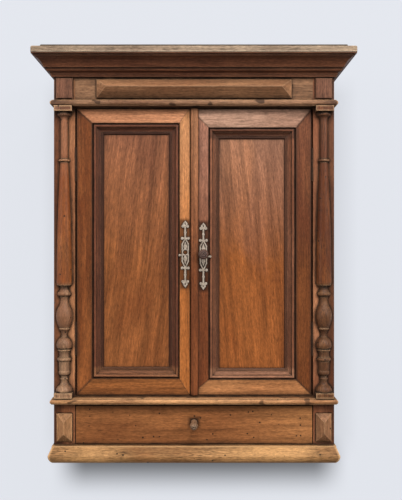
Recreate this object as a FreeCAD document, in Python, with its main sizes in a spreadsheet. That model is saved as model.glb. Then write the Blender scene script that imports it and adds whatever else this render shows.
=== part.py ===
import FreeCAD, Part
import math
import os
import re

import Sketcher
from FreeCAD import Rotation, Vector

# A small wall cabinet in stained wood: two panelled doors between split turned columns,
# one drawer below, a mitred cornice above.  Millimetres, +Z up, front towards -Y.
# The origin is the middle of the underside, halfway between the wall and the base moulding.

doc = FreeCAD.newDocument("wall_cabinet")

# Driving dimensions

SIZES = {
    # case
    "body_width": 504, "body_depth": 190, "side_thickness": 18,
    "stile_width": 38, "stile_thickness": 20, "board_thickness": 18,
    "back_thickness": 10, "back_board_gap": 0.3, "shelf_rise": 234, "shelf_thickness": 16,
    "shelf_setback": 34, "cleat_width": 14, "cleat_height": 20,
    "hanging_rail_height": 70, "hanging_rail_thickness": 18,
    "wall_hole_radius": 4, "wall_hole_spacing": 320,
    # heights of the stack, from the base up
    "base_height": 30, "drawer_opening": 71, "sill_height": 17, "door_opening": 517,
    "frieze_height": 55.5, "crown_height": 36.5, "cap_height": 11, "top_height": 6,
    # mouldings
    "base_side": 8, "base_tread": 8, "waist_height": 10.8, "waist_lift": 4.2, "waist_side": 4.8,
    "waist_tread": 13, "lip_height": 10.2, "lip_lift": 2, "lip_side": 4.8, "lip_tread": 13,
    "crown_reach": 33.5, "cap_lip": 0.9, "cap_round": 3, "top_inset": 14,
    # frieze ornaments
    "bar_length": 350, "bar_height": 33.5, "bar_lift": 5.6, "bar_edge": 3, "bar_rise": 12,
    "bar_ridge": 15, "bar_hip": 18,
    "block_width": 30, "block_height": 38, "block_lift": 4, "block_edge": 2.4, "block_bevel": 1.6,
    "facet_width": 28, "facet_height": 50.4, "facet_edge": 2, "facet_rise": 9, "facet_hip": 15,
    "facet_drop": 14.6,
    # split columns, widths across and heights along
    "column_square": 32, "column_depth": 16, "plinth_height": 9.2, "abacus_height": 9.5,
    "column_neck": 14, "shaft_top": 13.6, "shaft_foot": 28.4, "shaft_ring": 21.4,
    "column_ring": 24.4, "column_vase": 29.6, "column_bulb": 28.6, "column_drum": 21.4,
    "drum_ring": 27, "cone_top": 21, "bell_foot": 30,
    "bell_height": 20.6, "collar_height": 8.9, "cone_height": 26.3, "drum_ring_height": 6.6,
    "drum_height": 15.6, "bulb_height": 20.7, "bulb_neck_height": 12.8, "vase_ring_height": 4,
    "vase_height": 56.4, "vase_collar_height": 11.5, "shaft_neck_height": 8.9,
    "ring_height": 3.4, "neck_shaft_height": 72, "capital_height": 13.5,
    # doors
    "hinge_gap": 3, "meeting_gap": 1.6, "door_clearance": 1.5, "door_thickness": 20,
    "bead_width": 14, "hinge_stile": 27.8, "meeting_stile": 18,
    "left_top_rail": 25, "left_bottom_rail": 29, "right_top_rail": 33, "right_bottom_rail": 27,
    "panel_depth": 10, "panel_thickness": 7, "panel_groove": 5, "groove_play": 0.3,
    "moulding_width": 19.5,
    # butt hinges
    "leaf_height": 60, "leaf_depth": 14, "leaf_thickness": 1.2, "knuckle_radius": 1.25,
    "knuckle_play": 0.3, "pin_radius": 0.7, "pin_play": 0.05, "pin_head": 1, "axis_forward": 0.4,
    "hinge_inset": 70,
    # plates, knobs and catch
    "plate_above": 57, "plate_below": 64, "plate_width": 15.6, "plate_thickness": 1.6, "plate_hole": 4.2,
    "left_plate_rise": 256.4, "right_plate_rise": 252.6, "plate_shift": 1,
    "knob_head": 19.2, "knob_neck": 9, "knob_reach": 23, "spindle_radius": 2.5, "spindle_play": 0.08,
    "catch_length": 34, "catch_width": 12, "catch_thickness": 3, "catch_gap": 0.6,
    # drawer
    "drawer_play": 1.5, "drawer_front_thickness": 18, "drawer_back_gap": 12, "drawer_side": 10,
    "drawer_side_drop": 7, "drawer_bottom": 5, "runner_play": 0.3, "runner_width": 42,
    "guide_height": 24, "drawer_knob_head": 11.6, "drawer_knob_neck": 9, "drawer_knob_reach": 36,
    "drawer_knob_tenon": 3, "tenon_play": 0.05, "knob_level": 40,
}

sheet = doc.addObject("Spreadsheet::Sheet", "Sizes")
for row, (alias, number) in enumerate(SIZES.items(), start=1):
    sheet.set(f"A{row}", str(number))
    sheet.setAlias(f"A{row}", alias)
doc.recompute()


def tied(text):
    """The expression with each plain word read as a cell of the sheet."""
    return re.sub(r"\b(?!hypot\b)[a-z_]+", r"Sizes.\g<0>", text)


def worth(text):
    """The present value of an expression, in millimetres."""
    return float(sheet.evalExpression(tied(text)))


# Places worked out from the driving dimensions

HALF = "(body_width / 2)"
WALL = "((body_depth + base_tread + base_side) / 2)"
FRONT = f"({WALL} - body_depth)"
BEHIND_STILE = f"({FRONT} + stile_thickness)"
INSIDE = f"({HALF} - side_thickness)"
OPENING = f"({HALF} - stile_width)"
DRAWER_TOP = "(base_height + drawer_opening)"
SILL_TOP = f"({DRAWER_TOP} + sill_height)"
DOOR_TOP = f"({SILL_TOP} + door_opening)"
FRIEZE_TOP = f"({DOOR_TOP} + frieze_height)"
CAP_BOTTOM = f"({FRIEZE_TOP} + crown_height)"
CAP_TOP = f"({CAP_BOTTOM} + cap_height)"
RAIL_BOTTOM = f"({CAP_BOTTOM} - board_thickness - hanging_rail_height)"

AXES = {
    "+x": Vector(1, 0, 0), "-x": Vector(-1, 0, 0),
    "+y": Vector(0, 1, 0), "-y": Vector(0, -1, 0),
    "+z": Vector(0, 0, 1), "-z": Vector(0, 0, -1),
}
SIDES = (("left", -1), ("right", 1))
nodes = []


def keep(piece):
    """Marks a document object as a sub-part of the cabinet."""
    piece.Label = piece.Name
    nodes.append(piece)
    return piece


def place(piece, base, x_axis="+x", y_axis="+y"):
    """Puts a piece at a point given as three expressions, with its own x and y axes turned."""
    along, across = AXES[x_axis], AXES[y_axis]
    piece.Placement.Rotation = Rotation(along, across, along.cross(across), "XYZ")
    for axis, text in zip("xyz", base):
        piece.setExpression(f"Placement.Base.{axis}", tied(text))
    return piece


def on_side(sign, near, far):
    """The span from near to far, measured from the middle towards one side."""
    if sign > 0:
        return near, far
    return f"-({far})", f"-({near})"


def signed(sign, text):
    return text if sign > 0 else f"-({text})"


def board(name, x, y, z):
    """A plain board between three pairs of expressions."""
    piece = doc.addObject("Part::Box", name)
    for size, (low, high) in zip(("Length", "Width", "Height"), (x, y, z)):
        piece.setExpression(size, tied(f"({high}) - ({low})"))
    return place(piece, (x[0], y[0], z[0]))


def rod(name, base, radius, length, direction):
    """A round bar from a base point along one axis."""
    piece = doc.addObject("Part::Cylinder", name)
    piece.setExpression("Radius", tied(radius))
    piece.setExpression("Height", tied(length))
    across = "+x" if direction[1] != "x" else "+y"
    along = AXES[across]
    upward = AXES[direction]
    piece.Placement.Rotation = Rotation(along, upward.cross(along), upward, "XYZ")
    for axis, text in zip("xyz", base):
        piece.setExpression(f"Placement.Base.{axis}", tied(text))
    return piece


def fused(name, pieces):
    piece = doc.addObject("Part::MultiFuse", name)
    piece.Shapes = pieces
    return piece


def cut_away(name, base, tool):
    piece = doc.addObject("Part::Cut", name)
    piece.Base = base
    piece.Tool = tool
    return piece


def group(name, pieces):
    """Like pieces kept together as separate solids of one sub-part."""
    piece = doc.addObject("Part::Compound", name)
    piece.Links = pieces
    return keep(piece)


def origin_plane(body, role):
    return next(feature for feature in body.Origin.OriginFeatures if feature.Role == role)


def outline(body, role, name, corners):
    """A closed sketch on an origin plane, its corners running anticlockwise.  A corner is (x, y), or
    (x, y, bend, fullness) where the edge to the next corner is an arc: swelling (-1) or hollow (1),
    with a radius of the straight distance times the fullness (0.5 would be a half circle)."""
    sketch = body.newObject("Sketcher::SketchObject", name)
    sketch.AttachmentSupport = [(origin_plane(body, role), "")]
    sketch.MapMode = "FlatFace"
    points = [Vector(worth(corner[0]), worth(corner[1]), 0) for corner in corners]
    count = len(corners)
    for index, corner in enumerate(corners):
        start, end = points[index], points[(index + 1) % count]
        if len(corner) == 2:
            sketch.addGeometry(Part.LineSegment(start, end), False)
            continue
        run = end - start
        left = Vector(-run.y, run.x, 0).normalize()
        radius = corner[3] * run.Length
        rise = radius - math.sqrt(radius ** 2 - (run.Length / 2) ** 2)
        top = start + run * 0.5 + left * (rise * corner[2])
        # A sketch arc always turns anticlockwise, so a hollow one is drawn from its far end
        first, last = (end, start) if corner[2] > 0 else (start, end)
        sketch.addGeometry(Part.ArcOfCircle(first, top, last), False)
    ends = [(2, 1) if len(corner) > 2 and corner[2] > 0 else (1, 2) for corner in corners]
    for index in range(count):
        following = (index + 1) % count
        sketch.addConstraint(Sketcher.Constraint(
            "Coincident", index, ends[index][1], following, ends[following][0]))
    for index, corner in enumerate(corners):
        for kind, text, value in (("DistanceX", corner[0], points[index].x),
                                  ("DistanceY", corner[1], points[index].y)):
            number = sketch.addConstraint(
                Sketcher.Constraint(kind, -1, 1, index, ends[index][0], value))
            sketch.setExpression(f"Constraints[{number}]", tied(text))
        if len(corner) > 2:
            onward = corners[(index + 1) % count]
            reach = (f"{corner[3]} * hypot(({onward[0]}) - ({corner[0]}); "
                     f"({onward[1]}) - ({corner[1]}))")
            number = sketch.addConstraint(Sketcher.Constraint("Radius", index, worth(reach)))
            sketch.setExpression(f"Constraints[{number}]", tied(reach))
    return sketch


def run_of(name, profile, length, cuts):
    """A length of moulding or framing: its section, across Y and Z, is drawn out along X, and each
    cut, an outline across X and Y, takes a corner off for a mitre."""
    body = doc.addObject("PartDesign::Body", name)
    pad = body.newObject("PartDesign::Pad", f"{name}_run")
    pad.Profile = outline(body, "YZ_Plane", f"{name}_section", profile)
    pad.setExpression("Length", tied(length))
    for number, cut in enumerate(cuts):
        pocket = body.newObject("PartDesign::Pocket", f"{name}_mitre{number}")
        pocket.Profile = outline(body, "XY_Plane", f"{name}_mitre_line{number}", cut)
        pocket.Type = "ThroughAll"
        pocket.SideType = "Symmetric"
    return body


def turned(name, profile, angle=360, reverse=False):
    """A turning about its own Z axis, from a half profile of radius and height."""
    body = doc.addObject("PartDesign::Body", name)
    sketch = outline(body, "XZ_Plane", f"{name}_profile", profile)
    turning = body.newObject("PartDesign::Revolution", f"{name}_turning")
    turning.Profile = sketch
    turning.ReferenceAxis = (sketch, ["V_Axis"])
    turning.Angle = angle
    turning.Reversed = reverse
    return body


def facet_block(name, width, height, edge, rise, top):
    """A block with a bevelled face: an upright edge, then facets rising to the rectangle `top`,
    given as (x low, x high, z low, z high).  Its back is on y = 0 and its face looks along +Y."""
    body = doc.addObject("PartDesign::Body", name)
    slab = body.newObject("PartDesign::AdditiveBox", f"{name}_slab")
    for size, text in (("Length", width), ("Width", edge), ("Height", height)):
        slab.setExpression(size, tied(text))
    facets = body.newObject("PartDesign::AdditiveWedge", f"{name}_facets")
    bounds = {"Xmin": "0", "Xmax": width, "Zmin": "0", "Zmax": height, "Ymin": edge,
              "Ymax": f"{edge} + {rise}", "X2min": top[0], "X2max": top[1], "Z2min": top[2],
              "Z2max": top[3]}
    for size, text in bounds.items():
        facets.setExpression(size, tied(text))
    return body


# Case: base board, rails, sides, stiles, floors, top and back

keep(board("base_board", (f"-{HALF}", HALF), (FRONT, WALL), ("0", "board_thickness")))
keep(board("bottom_rail", (f"-{OPENING}", OPENING), (FRONT, BEHIND_STILE),
           ("board_thickness", "base_height")))
for side, sign in SIDES:
    keep(board(f"{side}_side", on_side(sign, INSIDE, HALF), (BEHIND_STILE, WALL),
               ("board_thickness", CAP_BOTTOM)))
    keep(board(f"{side}_stile", on_side(sign, OPENING, HALF), (FRONT, BEHIND_STILE),
               ("board_thickness", CAP_BOTTOM)))
keep(board("sill_rail", (f"-{OPENING}", OPENING), (FRONT, BEHIND_STILE), (DRAWER_TOP, SILL_TOP)))
BACK_FACE = f"({WALL} - back_thickness)"
keep(board("cupboard_floor", (f"-{INSIDE}", INSIDE), (BEHIND_STILE, BACK_FACE),
           (f"{SILL_TOP} - board_thickness", SILL_TOP)))
keep(board("case_top", (f"-{INSIDE}", INSIDE), (BEHIND_STILE, WALL),
           (f"{CAP_BOTTOM} - board_thickness", CAP_BOTTOM)))

BACK_BOARDS = 3
BACK_PITCH = f"(2 * {INSIDE} / {BACK_BOARDS})"
group("back_boards", [
    board(f"back_board_{number + 1}",
          (f"-{INSIDE} + {number} * {BACK_PITCH}",
           f"-{INSIDE} + {number + 1} * {BACK_PITCH} - back_board_gap"),
          (BACK_FACE, WALL), ("board_thickness", RAIL_BOTTOM))
    for number in range(BACK_BOARDS)])

# The hanging rail closes the back under the case top and takes the two wall screws
rail_blank = board("hanging_rail_blank", (f"-{INSIDE}", INSIDE),
                   (f"{WALL} - hanging_rail_thickness", WALL),
                   (RAIL_BOTTOM, f"{CAP_BOTTOM} - board_thickness"))
RAIL_MIDDLE = f"({RAIL_BOTTOM} + hanging_rail_height / 2)"
wall_holes = [
    rod(f"wall_hole_{side}", (signed(sign, "wall_hole_spacing / 2"),
                              f"{WALL} - hanging_rail_thickness", RAIL_MIDDLE),
        "wall_hole_radius", "hanging_rail_thickness", "+y")
    for side, sign in SIDES]
keep(cut_away("hanging_rail", rail_blank, fused("wall_holes", wall_holes)))

SHELF_FRONT = f"({BEHIND_STILE} + shelf_setback)"
SHELF = f"({SILL_TOP} + shelf_rise)"
keep(board("shelf", (f"-{INSIDE}", INSIDE), (SHELF_FRONT, BACK_FACE),
           (SHELF, f"{SHELF} + shelf_thickness")))
group("shelf_cleats", [
    board(f"{side}_cleat", on_side(sign, f"{INSIDE} - cleat_width", INSIDE), (SHELF_FRONT, BACK_FACE),
          (f"{SHELF} - cleat_height", SHELF))
    for side, sign in SIDES])

# Mouldings: each has a front length and two returns, mitred at the front corners


def moulding_set(name, section, side, tread, level, apart):
    """A moulding round three sides.  The section runs from the case outwards by `side`; on the
    front it first crosses a flat tread, so that it clears the columns."""
    front_section = [(f"{tread} + {corner[0]}", *corner[1:]) for corner in section]
    front_section[0] = ("0", section[0][1])
    front_section[-1] = ("0", section[-1][1])
    length = f"(body_width + 2 * {side})"
    reach = f"({tread} + {side})"
    left_end = [("0", "0"), (side, "0"), (side, tread), ("0", reach)]
    right_end = [(length, "0"), (f"{length} - {side}", "0"), (f"{length} - {side}", tread), (length, reach)]
    if tread == "0":
        del left_end[2], right_end[2]
    front = run_of(f"{name}_front", front_section, length, [left_end, right_end])
    keep(place(front, (f"{HALF} + {side}", FRONT, level), "-x", "-y"))
    depth = f"(body_depth + {reach})"
    near = [("0", "0"), (side, "0"), ("0", side)]
    far = [(depth, "0"), (f"{depth} - {side}", "0"), (depth, side)]
    left = run_of(f"{name}_left", section, depth, [near])
    place(left, (f"-{HALF}", f"{FRONT} - {reach}", level), "+y", "-x")
    right = run_of(f"{name}_right", section, depth, [far])
    place(right, (HALF, WALL, level), "-y", "+x")
    if apart:
        keep(left)
        keep(right)
    else:
        group(f"{name}_returns", [left, right])


# Base: a steep slope down to a widely rounded foot
moulding_set("base_moulding", [
    ("0", "0"),
    ("base_side * 0.15", "0", -1, 1.15),
    ("base_side", "base_height * 0.45"),
    ("base_side * 0.25", "base_height * 0.94"),
    ("base_side * 0.25", "base_height"),
    ("0", "base_height")], "base_side", "base_tread", "0", False)

# Waist: a round nose between a fillet below and a narrow quirk above
WAIST_FOOT = f"({DRAWER_TOP} + waist_lift)"
moulding_set("waist_moulding", [
    ("0", "0"),
    ("waist_side * 0.35", "0"),
    ("waist_side * 0.35", "waist_height * 0.06", -1, 0.58),
    ("waist_side * 0.35", "waist_height * 0.84"),
    ("waist_side * 0.2", "waist_height * 0.84"),
    ("waist_side * 0.2", "waist_height"),
    ("0", "waist_height")], "waist_side", "waist_tread", WAIST_FOOT, False)

# Lip under the frieze: the same nose with its fillet above
LIP_FOOT = f"({DOOR_TOP} + lip_lift)"
moulding_set("frieze_moulding", [
    ("0", "0"),
    ("lip_side * 0.35", "0"),
    ("lip_side * 0.35", "lip_height * 0.06", -1, 0.58),
    ("lip_side * 0.35", "lip_height * 0.86"),
    ("lip_side * 0.2", "lip_height"),
    ("0", "lip_height")], "lip_side", "lip_tread", LIP_FOOT, False)

# Cornice: fillet, small cove, ovolo, fillet, wide cove and fillet, leaning out at about 45 degrees
moulding_set("cornice", [
    ("0", "0"),
    ("crown_reach * 0.12", "0"),
    ("crown_reach * 0.14", "crown_height * 0.1"),
    ("crown_reach * 0.16", "crown_height * 0.1", 1, 0.9),
    ("crown_reach * 0.25", "crown_height * 0.23"),
    ("crown_reach * 0.28", "crown_height * 0.23", -1, 0.75),
    ("crown_reach * 0.36", "crown_height * 0.34"),
    ("crown_reach * 0.39", "crown_height * 0.34"),
    ("crown_reach * 0.39", "crown_height * 0.4"),
    ("crown_reach * 0.46", "crown_height * 0.4", 1, 1.2),
    ("crown_reach * 0.86", "crown_height * 0.85"),
    ("crown_reach * 0.91", "crown_height * 0.85"),
    ("crown_reach * 0.91", "crown_height * 0.93"),
    ("crown_reach", "crown_height * 0.93"),
    ("crown_reach", "crown_height"),
    ("0", "crown_height")], "crown_reach", "0", FRIEZE_TOP, True)

# Cap and top board over the cornice
CAP_REACH = "(crown_reach + cap_lip)"


def rounded_board(name, half_width, front, z, radius):
    """A board against the wall with its upper edges and front corners rounded."""
    body = doc.addObject("PartDesign::Body", name)
    slab = body.newObject("PartDesign::AdditiveBox", f"{name}_slab")
    for size, text in (("Length", f"2 * {half_width}"), ("Width", f"{WALL} - ({front})"),
                       ("Height", f"{z[1]} - {z[0]}")):
        slab.setExpression(size, tied(text))
    doc.recompute()
    box = slab.Shape.BoundBox
    picked = []
    for number, edge in enumerate(slab.Shape.Edges, start=1):
        middle = edge.CenterOfMass
        lies_flat = edge.BoundBox.ZLength < 0.01
        on_top = lies_flat and middle.z > box.ZMax - 0.01 and middle.y < box.YMax - 0.01
        front_corner = not lies_flat and middle.y < box.YMin + 0.01
        if on_top or front_corner:
            picked.append(f"Edge{number}")
    rounding = body.newObject("PartDesign::Fillet", f"{name}_rounding")
    rounding.Base = (slab, picked)
    rounding.setExpression("Radius", tied(radius))
    return keep(place(body, (f"-({half_width})", front, z[0])))


rounded_board("cornice_cap", f"({HALF} + {CAP_REACH})", f"{FRONT} - {CAP_REACH}",
              (CAP_BOTTOM, CAP_TOP), "cap_round")
rounded_board("top_board", f"({HALF} + {CAP_REACH} - top_inset)", f"{FRONT} - {CAP_REACH} + top_inset",
              (CAP_TOP, f"({CAP_TOP} + top_height)"), "top_height / 4")

# Frieze board, its hipped bar and the flat blocks over the columns
keep(board("frieze_board", (f"-{OPENING}", OPENING), (FRONT, BEHIND_STILE), (DOOR_TOP, CAP_BOTTOM)))
FRIEZE_FIELD = f"({LIP_FOOT} + lip_height)"
bar = facet_block("frieze_bar", "bar_length", "bar_height", "bar_edge", "bar_rise",
                  ("bar_hip", "bar_length - bar_hip", "bar_height - bar_ridge", "bar_height - bar_ridge"))
keep(place(bar, ("bar_length / 2", FRONT, f"{FRIEZE_FIELD} + bar_lift"), "-x", "-y"))
STILE_MIDDLE = f"({HALF} - stile_width / 2)"
for side, sign in SIDES:
    block = facet_block(f"{side}_frieze_block", "block_width", "block_height", "block_edge", "block_bevel",
                        ("block_bevel", "block_width - block_bevel",
                         "block_bevel", "block_height - block_bevel"))
    middle = signed(sign, STILE_MIDDLE)
    keep(place(block, (f"{middle} + block_width / 2", FRONT, f"{FRIEZE_FIELD} + block_lift"), "-x", "-y"))
    facet = facet_block(f"{side}_facet_block", "facet_width", "facet_height", "facet_edge", "facet_rise",
                        ("facet_width / 2", "facet_width / 2", "facet_hip", "facet_height - facet_hip"))
    keep(place(facet, (f"{middle} + facet_width / 2", FRONT,
                       f"{DRAWER_TOP} - facet_drop - facet_height"), "-x", "-y"))

# Split turned columns: square plinth, bell foot, cone, drum, bulb, vase, tapered shaft, capital

COLUMN_FOOT = f"({WAIST_FOOT} + waist_height)"
COLUMN_HEIGHT = f"({LIP_FOOT} - {COLUMN_FOOT})"


def heights(*steps):
    """Running heights up the column, each step added to those below it."""
    levels = [steps[0]]
    for step in steps[1:]:
        levels.append(f"({levels[-1]} + {step})")
    return levels


(PLINTH, BELL, COLLAR, CONE, DRUM_RING, DRUM, BULB, BULB_NECK, VASE_RING, VASE, VASE_COLLAR,
 SHAFT_NECK) = heights(
    "plinth_height", "bell_height", "collar_height", "cone_height", "drum_ring_height", "drum_height",
    "bulb_height", "bulb_neck_height", "vase_ring_height", "vase_height", "vase_collar_height",
    "shaft_neck_height")
# The tapered shaft takes up what is left under the ring and the capital
ABACUS = f"({COLUMN_HEIGHT} - abacus_height)"
NECK_SHAFT = f"({ABACUS} - capital_height)"
RING = f"({NECK_SHAFT} - neck_shaft_height)"
SHAFT = f"({RING} - ring_height)"

column_profile = [
    ("0", PLINTH),
    ("bell_foot * 0.49", PLINTH),
    ("bell_foot * 0.5", f"{PLINTH} + bell_height * 0.1", -1, 1.2),
    ("bell_foot * 0.36", f"{PLINTH} + bell_height * 0.55", 1, 0.9),
    ("column_neck * 0.46", BELL),
    ("column_neck * 0.46", f"{BELL} + collar_height * 0.14", -1, 0.6),
    ("column_neck * 0.46", f"{BELL} + collar_height * 0.62"),
    ("column_neck * 0.42", COLLAR),
    ("column_neck * 0.48", COLLAR, -1, 0.7),
    ("cone_top * 0.46", f"{COLLAR} + cone_height * 0.34"),
    ("cone_top * 0.5", CONE),
    ("drum_ring * 0.43", f"{CONE} + drum_ring_height * 0.06", -1, 0.6),
    ("drum_ring * 0.43", f"{CONE} + drum_ring_height * 0.9"),
    ("column_drum * 0.47", DRUM_RING, 1, 2.0),
    ("column_drum * 0.47", f"{DRUM_RING} + drum_height * 0.7"),
    ("column_drum * 0.56", f"{DRUM_RING} + drum_height * 0.76"),
    ("column_drum * 0.56", f"{DRUM_RING} + drum_height * 0.9"),
    ("column_drum * 0.5", DRUM),
    ("column_bulb * 0.46", f"{DRUM} + bulb_height * 0.06", -1, 2.2),
    ("column_bulb * 0.5", f"{DRUM} + bulb_height * 0.3", -1, 1.0),
    ("column_neck * 0.42", BULB, 1, 1.0),
    ("column_drum * 0.4", BULB_NECK),
    ("column_drum * 0.42", BULB_NECK, -1, 0.62),
    ("column_drum * 0.42", VASE_RING),
    ("column_vase * 0.32", VASE_RING, -1, 2.0),
    ("column_vase * 0.5", f"{VASE_RING} + vase_height * 0.36", -1, 2.3),
    ("column_vase * 0.4", f"{VASE_RING} + vase_height * 0.62", 1, 1.5),
    ("column_vase * 0.25", f"{VASE_RING} + vase_height * 0.92"),
    ("column_vase * 0.26", VASE),
    ("column_ring * 0.43", f"{VASE} + vase_collar_height * 0.08", -1, 0.58),
    ("column_ring * 0.43", f"{VASE} + vase_collar_height * 0.62"),
    ("column_neck * 0.6", VASE_COLLAR, 1, 1.0),
    ("column_neck * 0.54", f"{VASE_COLLAR} + shaft_neck_height * 0.8"),
    ("shaft_foot * 0.46", f"{VASE_COLLAR} + shaft_neck_height * 0.94"),
    ("shaft_foot * 0.5", f"{SHAFT_NECK} + ring_height", -1, 18),
    ("shaft_top * 0.56", SHAFT),
    ("shaft_ring * 0.46", SHAFT, -1, 0.62),
    ("shaft_ring * 0.46", RING),
    ("shaft_top * 0.52", RING),
    ("shaft_top * 0.5", NECK_SHAFT, 1, 0.9),
    ("column_ring * 0.4", f"{NECK_SHAFT} + capital_height * 0.44"),
    ("column_ring * 0.44", f"{NECK_SHAFT} + capital_height * 0.46", -1, 0.58),
    ("column_ring * 0.44", f"{NECK_SHAFT} + capital_height * 0.92"),
    ("column_ring * 0.4", ABACUS),
    ("0", ABACUS),
]
for side, sign in SIDES:
    column = turned(f"{side}_column", column_profile, 180, True)
    for block, low, high in (("plinth", "0", PLINTH), ("abacus", ABACUS, COLUMN_HEIGHT)):
        square = column.newObject("PartDesign::AdditiveBox", f"{side}_{block}")
        for size, text in (("Length", "column_square"), ("Width", "column_depth"),
                           ("Height", f"{high} - ({low})")):
            square.setExpression(size, tied(text))
        for axis, text in zip("xyz", ("-column_square / 2", "-column_depth", low)):
            square.setExpression(f"Placement.Base.{axis}", tied(text))
    keep(place(column, (signed(sign, STILE_MIDDLE), FRONT, COLUMN_FOOT)))

# Drawer runners: an L of a bearer under the drawer and a guide beside it

DRAWER_HALF = f"({OPENING} - drawer_play)"
RUNNER_TOP = "(base_height + drawer_play - runner_play)"
runners = []
for side, sign in SIDES:
    guide_width = f"({INSIDE} - {DRAWER_HALF} - runner_play)"
    runner = run_of(f"{side}_runner", [
        ("0", "0"), ("runner_width", "0"),
        ("runner_width", f"{RUNNER_TOP} - board_thickness"),
        (guide_width, f"{RUNNER_TOP} - board_thickness"),
        (guide_width, f"{RUNNER_TOP} - board_thickness + guide_height"),
        ("0", f"{RUNNER_TOP} - board_thickness + guide_height")],
        f"{BACK_FACE} - {BEHIND_STILE}", [])
    start, along = (BEHIND_STILE, "+y") if sign > 0 else (BACK_FACE, "-y")
    runners.append(place(runner, (signed(sign, INSIDE), start, "board_thickness"),
                         along, "-x" if sign > 0 else "+x"))
group("drawer_runners", runners)

# Drawer: a box of thin boards behind a thicker front

DRAWER_FRONT_BACK = f"({FRONT} + drawer_front_thickness)"
DRAWER_END = f"({BACK_FACE} - drawer_back_gap)"
DRAWER_FLOOR = "(base_height + drawer_play)"
TRAY_FLOOR = f"({DRAWER_FLOOR} + drawer_bottom)"
TRAY_TOP = f"({DRAWER_TOP} - drawer_play - drawer_side_drop)"
KNOB_LEVEL = "(base_height + knob_level)"
front_blank = board("drawer_front_blank", (f"-{DRAWER_HALF}", DRAWER_HALF), (FRONT, DRAWER_FRONT_BACK),
                    (DRAWER_FLOOR, f"{DRAWER_TOP} - drawer_play"))
knob_hole = rod("drawer_knob_hole", ("0", FRONT, KNOB_LEVEL), "drawer_knob_tenon + tenon_play",
                "drawer_front_thickness", "+y")
keep(cut_away("drawer_front", front_blank, knob_hole))
for side, sign in SIDES:
    keep(board(f"drawer_{side}_side", on_side(sign, f"{DRAWER_HALF} - drawer_side", DRAWER_HALF),
               (DRAWER_FRONT_BACK, DRAWER_END), (TRAY_FLOOR, TRAY_TOP)))
keep(board("drawer_back", (f"-{DRAWER_HALF} + drawer_side", f"{DRAWER_HALF} - drawer_side"),
           (f"{DRAWER_END} - drawer_side", DRAWER_END), (TRAY_FLOOR, TRAY_TOP)))
keep(board("drawer_bottom", (f"-{DRAWER_HALF}", DRAWER_HALF), (DRAWER_FRONT_BACK, DRAWER_END),
           (DRAWER_FLOOR, TRAY_FLOOR)))

# Turned knobs: a tenon or spindle, a collar, a waist and a ringed head with a dimple


def knob_profile(stem_radius, stem_length, neck, head, reach):
    return [
        ("0", f"-({stem_length})"),
        (stem_radius, f"-({stem_length})"),
        (stem_radius, "0"),
        (f"{neck} * 0.62", "0"),
        (f"{neck} * 0.62", f"{reach} * 0.1", 1, 1.0),
        (f"{neck} * 0.42", f"{reach} * 0.4"),
        (f"{head} * 0.36", f"{reach} * 0.56", -1, 0.62),
        (f"{head} * 0.4", f"{reach} * 0.86", -1, 0.8),
        (f"{head} * 0.29", f"{reach} * 0.97"),
        (f"{head} * 0.25", f"{reach} * 0.92"),
        (f"{head} * 0.21", f"{reach} * 0.97", -1, 0.7),
        (f"{head} * 0.12", reach),
        (f"{head} * 0.09", f"{reach} * 0.95"),
        ("0", f"{reach} * 0.95")]


drawer_knob = turned("drawer_knob", knob_profile(
    "drawer_knob_tenon", "drawer_front_thickness", "drawer_knob_neck", "drawer_knob_head",
    "drawer_knob_reach"))
keep(place(drawer_knob, ("0", FRONT, KNOB_LEVEL), "+x", "+z"))

# Doors: mitred frame, grooved for a flat panel, with a planted moulding inside the frame

DOOR_BOTTOM = f"({SILL_TOP} + door_clearance)"
DOOR_HEIGHT = "(door_opening - 2 * door_clearance)"
DOOR_SPAN = f"(2 * {OPENING} - 2 * hinge_gap - meeting_gap - bead_width)"
LEFT_EDGE = f"(-{OPENING} + hinge_gap)"
MEETING = f"({LEFT_EDGE} + {DOOR_SPAN} / 2)"
RIGHT_EDGE = f"({OPENING} - hinge_gap)"
DOORS = {
    "left": {"edges": (LEFT_EDGE, MEETING), "stiles": ("hinge_stile", "meeting_stile")},
    "right": {"edges": (f"({MEETING} + meeting_gap)", RIGHT_EDGE),
              "stiles": ("(meeting_stile + bead_width)", "hinge_stile")},
}


def frame_section(width):
    """Section of a frame member: outer edge at 0, face at 0, with a groove for the panel."""
    groove_back = "(panel_depth + panel_thickness + groove_play)"
    return [("0", "0"), (width, "0"), (width, "panel_depth"),
            (f"{width} - panel_groove", "panel_depth"), (f"{width} - panel_groove", groove_back),
            (width, groove_back), (width, "door_thickness"), ("0", "door_thickness")]


def mitres(length, width, first, last):
    """The two corner cuts of a frame member between neighbours of the given widths."""
    return [[("0", "0"), (first, width), ("0", width)],
            [(length, "0"), (length, width), (f"{length} - {last}", width)]]


# From the frame inwards: a quirk, a bead, a cove and a thin bead on the panel
moulding_section = [
    ("0", "panel_depth"),
    ("0", "panel_depth * 0.46"),
    ("moulding_width * 0.09", "panel_depth * 0.46"),
    ("moulding_width * 0.09", "panel_depth * 0.28", -1, 0.62),
    ("moulding_width * 0.36", "panel_depth * 0.28"),
    ("moulding_width * 0.36", "panel_depth * 0.42"),
    ("moulding_width * 0.44", "panel_depth * 0.42", 1, 0.8),
    ("moulding_width * 0.76", "panel_depth * 0.72"),
    ("moulding_width * 0.76", "panel_depth * 0.78"),
    ("moulding_width * 0.83", "panel_depth * 0.78", -1, 0.75),
    ("moulding_width", "panel_depth * 0.94"),
    ("moulding_width", "panel_depth"),
]
FRAME_SIDES = (
    # name, own x axis, own y axis: y runs from the outer edge inwards
    ("top", "+x", "-z"), ("bottom", "-x", "+z"), ("first", "+z", "+x"), ("last", "-z", "-x"))


def frame_corner(side, low, high, bottom, top):
    """The outer corner where a frame member of that side starts."""
    return {"top": (low, FRONT, top), "bottom": (high, FRONT, bottom),
            "first": (low, FRONT, bottom), "last": (high, FRONT, top)}[side]


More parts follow.
